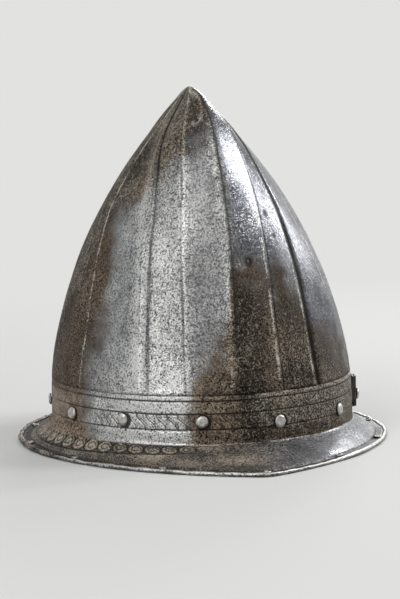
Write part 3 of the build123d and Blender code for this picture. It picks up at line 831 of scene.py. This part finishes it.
def old_iron(name, dark, light, rust_share, rough_low, rough_high):
    """Hammered iron between two colours, with rust in its hollows."""
    material, tree, shader = new_material(name)
    cloud = noise_value(tree, 160.0, 4.0, 0.6)
    grit = noise_value(tree, 1300.0, 3.0, 0.6)
    rust = stretched(noise_value(tree, 340.0, 4.0, 0.65), 0.62 - rust_share, 0.72 - rust_share)
    colour = mixed(stretched(cloud, 0.35, 0.68), dark, light)
    colour = mixed(times(rust, 0.75), colour, (0.07, 0.042, 0.024))
    colour = mixed(stretched(grit, 0.42, 0.34, 0.0, 0.6), colour, (0.02, 0.015, 0.012))
    rough = stretched(weighted((rust, 0.5), (cloud, 0.6)), 0.1, 0.9, rough_low, rough_high)
    metal = stretched(rust, 0.0, 1.0, 0.92, 0.3)
    set_shader(shader, colour, rough, metal, weighted((grit, 0.5), (cloud, 1.0)), 0.45, 0.0003)
    return material


look = old_iron("iron_wire", (0.06, 0.052, 0.046), (0.14, 0.125, 0.11), 0.12, 0.35, 0.65)
wire.data.materials.append(look)
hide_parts("brim_edge_wire")

# Lining rivets
# Twelve iron rivets with low round heads, which hold the lining strap. Each was forged by hand, so
# no two heads are quite alike, and its tail is hammered down over a washer inside.
head_gap = 0.25 * mm
socket_rivet = 2
socket_stand = 2.95
# The third number of each point is dirt, with painted shade round the foot of the head and under it
head_profile = (
    (0.0, 1.7, 0.25), (1.2, 1.74, 0.2), (2.2, 1.9, 0.0), (3.0, 1.72, 0.0), (3.7, 1.15, 0.1), (4.15, 0.5, 0.5),
    (4.1, 0.1, 1.0), (3.9, 0.0, 1.0), (1.5, 0.0, 1.0),
)
tail_profile = (
    (1.5, -5.55, 0.6), (2.25, -5.55, 0.5), (2.3, -5.8, 0.3), (1.9, -6.3, 0.1), (1.1, -6.52, 0.0),
    (0.0, -6.55, 0.0),
)
rivet_steps = 26
rivet_unevenness = 0.3
hammer_mark = 2.4 * mm


def spun(work, profile, steps, matrix, seed, uneven):
    """Spins a profile of radius, height and dirt with painted shade about an axis, hammers it uneven, and
    puts it in place.
    """
    dirt_and_shade_layer = work.verts.layers.float.get("dirt_and_shade") or work.verts.layers.float.new("dirt_and_shade")
    rings = []
    for radius_mm, height_mm, dirt_and_shade_share in profile:
        ring = []
        for step in range(steps if radius_mm else 1):
            way = math.tau * step / steps
            point = Vector((radius_mm * math.cos(way), radius_mm * math.sin(way), height_mm)) * mm
            spot = point / hammer_mark + Vector((seed * 9.1, seed * 4.7, 0.0))
            shift = Vector([noise.noise(spot + Vector((0.0, 0.0, 17.3 * axis))) for axis in range(3)])
            point += shift * uneven * mm * min(1.0, 2.0 * point.xy.length / hammer_mark)
            vert = work.verts.new(matrix @ point)
            vert[dirt_and_shade_layer] = dirt_and_shade_share
            ring.append(vert)
        rings.append(ring)
    for upper, lower in zip(rings, rings[1:]):
        for step in range(steps):
            sides = ((upper, 0), (upper, 1), (lower, 1), (lower, 0))
            corners = dict.fromkeys(ring[(step + add) % len(ring)] for ring, add in sides)
            work.faces.new(list(corners))


def askew(about_x, about_y):
    """A turn about two axes, in radians."""
    return Matrix.Rotation(about_x, 4, "X") @ Matrix.Rotation(about_y, 4, "Y")


def worn_head(name, dark, light, rim_dirt_and_shade_colour):
    """A rubbed rivet head: light on its dome, pitted, with dirt and painted shade round its rim."""
    material, tree, shader = new_material(name)
    cloud = noise_value(tree, 260.0, 3.0, 0.6)
    grit = noise_value(tree, 1100.0, 3.0, 0.65)
    rim = stretched(weighted((attribute(tree, "dirt_and_shade"), 1.0), (cloud, 0.5)), 0.45, 0.95)
    colour = mixed(stretched(cloud, 0.36, 0.64), dark, light)
    colour = mixed(stretched(grit, 0.43, 0.34, 0.0, 0.8), colour, (0.06, 0.045, 0.035))
    colour = mixed(rim, colour, rim_dirt_and_shade_colour)
    rough = stretched(weighted((rim, 0.6), (cloud, 0.6)), 0.2, 0.9, 0.34, 0.65)
    metal = stretched(rim, 0.0, 1.0, 0.9, 0.4)
    set_shader(shader, colour, rough, metal, weighted((grit, 0.6), (cloud, 1.0)), 0.5, 0.0004)
    return material


work = bmesh.new()
for index, (rivet_turn, rivet_height) in enumerate(rivet_spots):
    stand = socket_stand if index == socket_rivet else 0.0
    spot, outward = base_oval(rivet_turn)
    facing = Vector((*outward, 0.0))
    side = Vector((-facing.y, facing.x, 0.0))
    point = Vector((*(spot + outward * (head_gap + stand * mm)), rivet_height))
    lean = askew(0.07 * math.sin(4.0 * index), 0.06 * math.cos(7.0 * index))
    oval = Matrix.Diagonal((1.0 + 0.05 * math.sin(3.0 * index), 1.0 + 0.05 * math.cos(5.0 * index), 1.0, 1.0))
    turned = Matrix((side, Vector((0.0, 0.0, 1.0)), facing)).transposed().to_4x4()
    tail = tuple((radius_mm, height_mm - stand, share) for radius_mm, height_mm, share in tail_profile)
    place = Matrix.Translation(point) @ turned @ lean @ oval
    spun(work, head_profile + tail, rivet_steps, place, index + 1.0, rivet_unevenness)
rivets = closed_piece("lining_rivet_set", work)
look = worn_head("bright_iron", (0.42, 0.41, 0.39), (0.68, 0.67, 0.64), (0.03, 0.024, 0.02))
rivets.data.materials.append(look)
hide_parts("lining_rivets")

# Washers and plume socket
# Iron washers lie under the rivet tails inside. The plume socket is a cut plate with a flat tube
# folded on it, and the rivet at the wearer's left holds it. Both keep their exact shapes.
dark_iron = old_iron("dark_iron", (0.05, 0.046, 0.04), (0.13, 0.12, 0.1), 0.14, 0.4, 0.7)
socket_iron = old_iron("socket_iron", (0.035, 0.034, 0.03), (0.12, 0.115, 0.095), 0.12, 0.35, 0.65)
for name, look in (("lining_rivet_washers", dark_iron), ("plume_socket", socket_iron)):
    carried = bpy.data.objects[name]
    carried.data.materials.clear()
    carried.data.materials.append(look)

# Brim rivets
# Twelve small rivets in the sunk border of the brim, with hollowed, half worn heads, which once held
# the edging of the lining. They follow the border where it has been knocked.
brim_rivet_count = 12
brim_rivet_steps = 18
brim_rivet_inset = 5.9 * mm
brim_head_gap = 0.1 * mm
first_brim_seed = 31.0
# The third number of each point is dirt, with painted shade in the hollow of the head and under it
brim_head_profile = (
    (0.0, 0.35, 1.0), (0.8, 0.4, 1.0), (1.2, 0.9, 0.3), (1.6, 1.25, 0.0), (2.1, 1.15, 0.0), (2.45, 0.6, 0.2),
    (2.45, 0.0, 1.0), (0.8, 0.0, 1.0), (0.8, -1.3, 1.0), (1.2, -1.35, 0.5), (1.1, -1.8, 0.2),
    (0.0, -1.85, 0.0),
)
work = bmesh.new()
brim_rivet_turns = np.arange(brim_rivet_count) * 360.0 / brim_rivet_count
knock_out, knock_up, size = knocked_edge((brim_rivet_turns + 180.0) % 360.0 - 180.0)
heads, outward = rim_oval(np.radians(brim_rivet_turns), np.full(brim_rivet_count, brim_rivet_inset))
heads += outward * knock_out[:, None]
for index in range(brim_rivet_count):
    point = Vector((*heads[index], border_top + brim_head_gap + knock_up[index]))
    place = Matrix.Translation(point) @ askew(0.12 * math.sin(5.0 * index), 0.1 * math.cos(3.0 * index))
    spun(work, brim_head_profile, brim_rivet_steps, place, first_brim_seed + index, rivet_unevenness)
small_rivets = closed_piece("brim_rivet_set", work)
look = worn_head("brim_rivet_iron", (0.3, 0.28, 0.25), (0.5, 0.48, 0.44), (0.02, 0.016, 0.013))
small_rivets.data.materials.append(look)
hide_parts("brim_rivets")

# Leather strap
# A strap of brown leather that runs round the inside behind the rivets. It was cut by hand, so its
# edges waver, and the rivets have drawn it in a little.
strap_bottom, strap_top = 15.65 * mm, 37.65 * mm
strap_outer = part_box("lining_band")[1].x
strap_thick = 2.0 * mm
strap_columns = 420
# The strap's section, as shares of its thickness inwards and of its height
strap_corners = (
    (0.0, 0.1), (0.0, 0.3), (0.0, 0.5), (0.0, 0.7), (0.0, 0.9), (0.02, 0.965), (0.2, 0.992), (0.5, 1.0),
    (0.8, 0.992), (0.98, 0.965), (1.0, 0.9), (1.0, 0.7), (1.0, 0.5), (1.0, 0.3), (1.0, 0.1), (0.98, 0.035),
    (0.8, 0.008), (0.5, 0.0), (0.2, 0.008), (0.02, 0.035), (0.0, 0.1),
)
long_way = (skull_half_length - strap_depth) / (skull_half_width - strap_depth)


def lining_places(reach, angle, lift):
    """Places inside the skull at a reach across it; the lining's rounds are longer than they are wide."""
    return np.stack([reach * np.sin(angle), -reach * np.cos(angle) * long_way, lift], 1)


strap_mesh, column, row = blank_sheet(strap_columns, len(strap_corners))
turn = -180.0 + 360.0 * column / strap_columns
depth_share, height_share = np.array(strap_corners)[row].T
ring = unit_ring(turn)
waver = 0.35 * mm * np.abs(lumps(ring, 0.12, 15)) * np.where(height_share > 0.5, -1.0, 1.0)
pulled = sum(groove(arc_from(turn, rivet_turn), 7.0 * mm) for rivet_turn, _ in rivet_spots)
pulled = held(pulled)
cockle = 0.3 * mm * np.abs(lumps(ring, 0.09, 16)) * (1.0 - pulled) - 0.12 * mm * pulled
reach = strap_outer - strap_thick * depth_share - cockle * (depth_share > 0.5)
lift = strap_bottom + (strap_top - strap_bottom) * height_share + waver
strap_points = lining_places(reach, np.radians(turn), lift)
strap_edge = 1.0 - between(height_share, 0.0, 0.16, 0.84, 1.0)
strap = finished("lining_strap", strap_mesh, strap_points, {"edge": strap_edge, "pulled": pulled})
look, tree, shader = new_material("strap_leather")
places = node(tree, "TexCoord").outputs["Object"]
grain = node(tree, "TexVoronoi", {"Vector": places, "Scale": 950.0}).outputs[0]
creases = noise_value(tree, 130.0, 5.0, 0.65)
cloud = noise_value(tree, 45.0, 4.0, 0.6)
colour = mixed(stretched(cloud, 0.35, 0.66), (0.075, 0.038, 0.02), (0.19, 0.105, 0.055))
colour = mixed(stretched(creases, 0.5, 0.36, 0.0, 0.8), colour, (0.03, 0.017, 0.01))
edge_wear = stretched(weighted((attribute(tree, "edge"), 1.0), (creases, 0.9)), 1.0, 1.6, 0.0, 0.7)
colour = mixed(edge_wear, colour, (0.27, 0.17, 0.1))
colour = mixed(times(attribute(tree, "pulled"), 0.5), colour, (0.03, 0.02, 0.015))
rough = stretched(creases, 0.3, 0.7, 0.48, 0.75)
set_shader(shader, colour, rough, 0.0, weighted((grain, 0.5), (creases, 1.2)), 0.6, 0.0006)
strap.data.materials.append(look)
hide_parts("lining_band")

# Quilted gores
# Eight wedges of unbleached linen, stuffed with tow and quilted in long channels, which make the
# cap that the head touches. Their hems are sewn to the strap and their tips are drawn together.
gore_names = ("front", "front_left", "left", "rear_left", "rear", "rear_right", "right", "front_right")
gore_gap = 0.8 * mm
gore_outer = 97.4 * mm
gore_thick = 7.0 * mm
gore_hem_top = 20.15 * mm
hem_stand = 2.5 * mm
gore_wall_top = 39.65 * mm
gore_rise = 87.0 * mm
gore_tip = 20.0 * mm
gore_columns = 72
gore_rows = 104
arc_points = 400
stitch_lines = (-0.6, -0.2, 0.2, 0.6)
channel_half = 0.2
stitch_pitch = 5.0 * mm


def gore_middle(along):
    """The middle of a gore's padding from hem, 0, to tip, 1: radius, height, outward slope and run."""
    middle = gore_outer - gore_thick / 2.0
    rise = gore_rise - gore_thick / 2.0
    last = math.acos(gore_tip / middle)
    arc = np.linspace(0.0, last, arc_points)
    crown = np.hypot(np.diff(middle * np.cos(arc), prepend=middle), np.diff(rise * np.sin(arc), prepend=0.0))
    crown = np.cumsum(crown)
    wall = gore_wall_top - strap_bottom
    run = along * (wall + crown[-1])
    turned = np.interp(run - wall, crown, arc)
    radius = middle * np.cos(turned)
    lift = np.where(run < wall, strap_bottom + run, gore_wall_top + rise * np.sin(turned))
    slope = np.stack([np.cos(turned) / middle, np.sin(turned) / rise], 1)
    return radius, lift, slope / np.linalg.norm(slope, axis=1)[:, None], run


def quilted_linen():
    """Plain woven linen, yellowed, darker in its stitch lines and where the head has rubbed it."""
    material, tree, shader = new_material("quilted_linen")
    uv = node(tree, "SeparateXYZ", {0: node(tree, "UVMap", uv_map="weave").outputs[0]})
    thread = math.tau / 0.9
    warp = sums(times(uv.outputs[0], thread), 0.0, "SINE")
    weft = sums(times(uv.outputs[1], thread), 0.0, "SINE")
    weave = weighted((times(warp, weft), 0.5), (noise_value(tree, 900.0, 2.0), 0.8))
    stain = noise_value(tree, 30.0, 5.0, 0.62)
    fold = noise_value(tree, 150.0, 4.0, 0.6)
    colour = mixed(stretched(stain, 0.34, 0.66), (0.3, 0.235, 0.15), (0.5, 0.43, 0.31))
    colour = mixed(stretched(weave, 0.5, -0.1, 0.0, 0.45), colour, (0.2, 0.15, 0.095))
    colour = mixed(times(attribute(tree, "stitch"), 0.6), colour, (0.16, 0.115, 0.07))
    grime = stretched(weighted((attribute(tree, "grime"), 1.0), (stain, 0.8)), 0.7, 1.5, 0.0, 0.7)
    colour = mixed(grime, colour, (0.14, 0.1, 0.06))
    relief = weighted((weave, 0.8), (fold, 1.6))
    set_shader(shader, colour, 0.88, 0.0, relief, 0.55, 0.0006)
    shader.inputs["Sheen Weight"].default_value = 0.25
    shader.inputs["Sheen Roughness"].default_value = 0.6
    return material


def rounded(away):
    """The height of a quarter circle: 1 at 0 and 0 from 1 on."""
    return np.sqrt(held(1.0 - away**2))


linen_look = quilted_linen()
for index, name in enumerate(gore_names):
    mesh, column, row = blank_sheet(gore_columns, 2 * gore_rows)
    across = -1.0 + 2.0 * column / gore_columns
    inside = row < gore_rows
    along = np.where(inside, row, 2 * gore_rows - 1 - row) / (gore_rows - 1.0)
    radius, lift, slope, run = gore_middle(along)
    half_turn = math.pi / len(gore_names) - gore_gap / 2.0 / radius
    angle = math.tau * index / len(gore_names) + across * half_turn
    inside_channel = (np.abs(across) + channel_half) % (2.0 * channel_half) / channel_half - 1.0
    seam_floor = 0.34 * ease(1.0, 0.9, np.abs(across))
    pucker = 0.1 * np.cos(math.tau * run / stitch_pitch) * np.abs(inside_channel) ** 3
    crowned = seam_floor + (1.0 - seam_floor) * rounded(inside_channel) - pucker
    ends = rounded(1.0 - np.minimum(along / 0.035, 1.0))
    ends *= rounded(1.0 - np.minimum((1.0 - along) / 0.025, 1.0))
    ends = np.where((along <= 0.0) | (along >= 1.0), 0.0, ends)
    edge_round = rounded(np.abs(across) ** 6)
    middle_points = np.stack([radius * np.sin(angle), -radius * np.cos(angle), lift], 1)
    creased = 1.0 + 0.12 * lumps(middle_points, 14.0 * mm, 17) + 0.1 * lumps(middle_points, 5.0 * mm, 18)
    half = gore_thick / 2.0 * held(crowned * creased) * ends * edge_round
    stand = hem_stand * ease(gore_hem_top + 1.5 * mm, gore_hem_top - 1.0 * mm, lift) * ends * ~inside
    offset = np.where(inside, -half, half) + stand * edge_round
    reach = radius + offset * slope[:, 0]
    points = lining_places(reach, angle, lift + offset * slope[:, 1])
    weave_map = mesh.uv_layers.new(name="weave")
    spots = np.zeros(len(mesh.loops), int)
    mesh.loops.foreach_get("vertex_index", spots)
    flat_map = np.stack([across * half_turn * radius / mm, run / mm], 1)[spots]
    weave_map.data.foreach_set("uv", flat_map.astype(np.float32).ravel())
    near_line = np.min([np.abs(across - line) for line in stitch_lines], axis=0) * half_turn * radius
    stitches = groove(near_line, 0.7 * mm) * (0.55 + 0.45 * (np.cos(math.tau * run / stitch_pitch) > 0.0))
    grime = 0.6 * ease(0.3, 0.0, along) + 0.4 * ease(0.75, 1.0, along)
    gore = finished("quilted_gore_" + name, mesh, points, {"stitch": stitches, "grime": grime})
    gore.data.materials.append(linen_look)
    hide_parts("lining_gore_" + name)

# Whip stitches
# Waxed linen thread that sews the hems of the gores to the lower edge of the strap.
stitch_count = 120
# One stitch, as reach and height in millimetres, from the strap round the hem to the gore
stitch_path = (
    (102.35, 19.4), (102.4, 17.4), (101.9, 15.5), (100.4, 15.0), (98.6, 15.0), (97.3, 15.5), (96.8, 16.6),
)
stitch_slant = 0.005
thread_radius = 0.38 * mm


def bevelled_lines(name, paths, radius, cyclic):
    """Round threads along paths, as one closed mesh."""
    curve = bpy.data.curves.new(name, "CURVE")
    curve.dimensions = "3D"
    curve.bevel_depth = radius
    curve.bevel_resolution = 1
    curve.use_fill_caps = True
    for path in paths:
        spline = curve.splines.new("POLY")
        spline.points.add(len(path) - 1)
        spline.points.foreach_set("co", np.column_stack([path, np.ones(len(path))]).ravel())
        spline.use_cyclic_u = cyclic
    drawn = bpy.data.objects.new(name, curve)
    work = bmesh.new()
    work.from_mesh(bpy.data.meshes.new_from_object(drawn))
    bpy.data.objects.remove(drawn)
    bmesh.ops.remove_doubles(work, verts=work.verts, dist=merge_distance / 10.0)
    return closed_piece(name, work)


def twisted_linen(name, dark, light):
    """Linen thread: pale fibres with dark between them."""
    material, tree, shader = new_material(name)
    fibres = noise_value(tree, 1500.0, 3.0, 0.6)
    stain = noise_value(tree, 60.0, 4.0, 0.6)
    colour = mixed(stretched(stain, 0.35, 0.65), dark, light)
    colour = mixed(stretched(fibres, 0.5, 0.36, 0.0, 0.6), colour, (0.1, 0.075, 0.045))
    set_shader(shader, colour, 0.85, 0.0, fibres, 0.6, 0.0004)
    shader.inputs["Sheen Weight"].default_value = 0.2
    return material


paths = []
for index in range(stitch_count):
    angle = math.tau * (index + 0.5) / stitch_count + 0.008 * math.sin(index * 2.3)
    reach, lift = np.array(stitch_path).T * mm
    paths.append(lining_places(reach, angle + stitch_slant * np.arange(len(stitch_path)), lift))
stitches = bevelled_lines("hem_stitches", paths, thread_radius, False)
stitches.data.materials.append(twisted_linen("hem_thread", (0.24, 0.19, 0.12), (0.42, 0.36, 0.25)))

# Crown lace
# A three-strand linen cord that runs through the tips of the gores and draws them together.
lace_ring = 27.0 * mm
lace_level = 119.62 * mm
strand_radius = 0.62 * mm
strand_offset = 0.6 * mm
lace_twists = 44
lace_points = 440
paths = []
angle = math.tau * np.arange(lace_points) / lace_points
for strand in range(3):
    twist = lace_twists * angle + math.tau * strand / 3.0
    lift = lace_level + strand_offset * np.sin(twist)
    paths.append(lining_places(lace_ring + strand_offset * np.cos(twist), angle, lift))
lace = bevelled_lines("crown_cord", paths, strand_radius, True)
lace.data.materials.append(twisted_linen("linen_cord", (0.3, 0.25, 0.17), (0.52, 0.46, 0.34)))
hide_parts("crown_lace")

# Floor and backdrop
# A plain pale sheet that lies flat under the helmet and curves up behind it. Away from the helmet the
# camera sees it glow evenly, so that no horizon shows.
floor_half = 3.0
bend_steps = 12
bend_radius = 1.0
glow_from, glow_full = 0.28, 0.95
floor_look, tree, shader = new_material("pale_backdrop")
shader.inputs["Base Color"].default_value = (0.66, 0.66, 0.65, 1.0)
shader.inputs["Roughness"].default_value = 0.85
paths = node(tree, "LightPath")
seen = sums(paths.outputs["Is Camera Ray"], paths.outputs["Is Glossy Ray"])
seen = sums(seen, paths.outputs["Is Transmission Ray"])
place = node(tree, "TexCoord").outputs["Object"]
away = node(tree, "VectorMath", {0: place}, operation="LENGTH").outputs["Value"]
far = stretched(away, glow_from, glow_full)
glow = node(tree, "Emission", {"Color": (0.76, 0.76, 0.75), "Strength": 1.0})
share = times(seen, far)
both = node(tree, "MixShader", {0: share, 1: shader.outputs[0], 2: glow.outputs[0]})
tree.links.new(both.outputs[0], tree.nodes["Material Output"].inputs[0])
work = bmesh.new()
bmesh.ops.create_grid(work, x_segments=1, y_segments=1, size=floor_half)
back_edges = [edge for edge in work.edges if all(vert.co.y > 0.0 for vert in edge.verts)]
for step in range(bend_steps + 1):
    lifted = bmesh.ops.extrude_edge_only(work, edges=back_edges)["geom"]
    verts = [part for part in lifted if isinstance(part, bmesh.types.BMVert)]
    back_edges = [part for part in lifted if isinstance(part, bmesh.types.BMEdge)]
    before, after = math.pi / 2.0 * step / bend_steps, math.pi / 2.0 * (step + 1) / bend_steps
    move = Vector((0.0, math.sin(after) - math.sin(before), math.cos(before) - math.cos(after))) * bend_radius
    if step == bend_steps:
        move = Vector((0.0, 0.0, floor_half))
    bmesh.ops.translate(work, verts=verts, vec=move)
for face in work.faces:
    face.smooth = True
floor_mesh = bpy.data.meshes.new("floor")
work.to_mesh(floor_mesh)
work.free()
floor = bpy.data.objects.new("floor", floor_mesh)
floor.data.materials.append(floor_look)
bpy.context.scene.collection.objects.link(floor)

# Lights
# A tall soft light at the front left, small ones round the right that draw the highlights on its
# panels and brim, a weak one above, and a level pale surround.
light_aim_height = 0.12
surround_light, surround_seen = 0.55, 0.95


def soft_light(name, turn, rise, distance, size, size_y, power):
    """A rectangular light that looks at the helmet from a turn and a rise in degrees."""
    across, up = math.radians(turn), math.radians(rise)
    way = Vector((math.sin(across) * math.cos(up), -math.cos(across) * math.cos(up), math.sin(up)))
    lamp = bpy.data.lights.new(name, "AREA")
    lamp.shape = "RECTANGLE"
    lamp.size, lamp.size_y = size, size_y
    lamp.energy = power
    made = bpy.data.objects.new(name, lamp)
    bpy.context.scene.collection.objects.link(made)
    made.location = way * distance + Vector((0.0, 0.0, light_aim_height))
    made.rotation_euler = way.to_track_quat("Z", "Y").to_euler()


soft_light("left_softbox", -46.0, 32.0, 1.8, 0.5, 1.5, 12.0)
soft_light("right_softbox", 80.0, 41.0, 1.7, 0.45, 0.5, 9.0)
soft_light("side_softbox", 103.0, 26.0, 1.7, 0.3, 0.6, 7.0)
soft_light("rear_softbox", 124.0, 12.0, 1.7, 0.26, 0.22, 1.5)
soft_light("brim_softbox", 156.0, 21.0, 1.8, 0.5, 0.3, 7.5)
soft_light("top_softbox", -60.0, 74.0, 1.9, 0.9, 0.9, 4.0)
world = bpy.data.worlds.new("surround")
bpy.context.scene.world = world
world.use_nodes = True
tree = world.node_tree
surround = tree.nodes["Background"]
surround.inputs[0].default_value = (0.8, 0.8, 0.8, 1.0)
seen = node(tree, "LightPath").outputs["Is Camera Ray"]
tree.links.new(stretched(seen, 0.0, 1.0, surround_light, surround_seen), surround.inputs[1])
bpy.context.scene.view_settings.view_transform = "Standard"
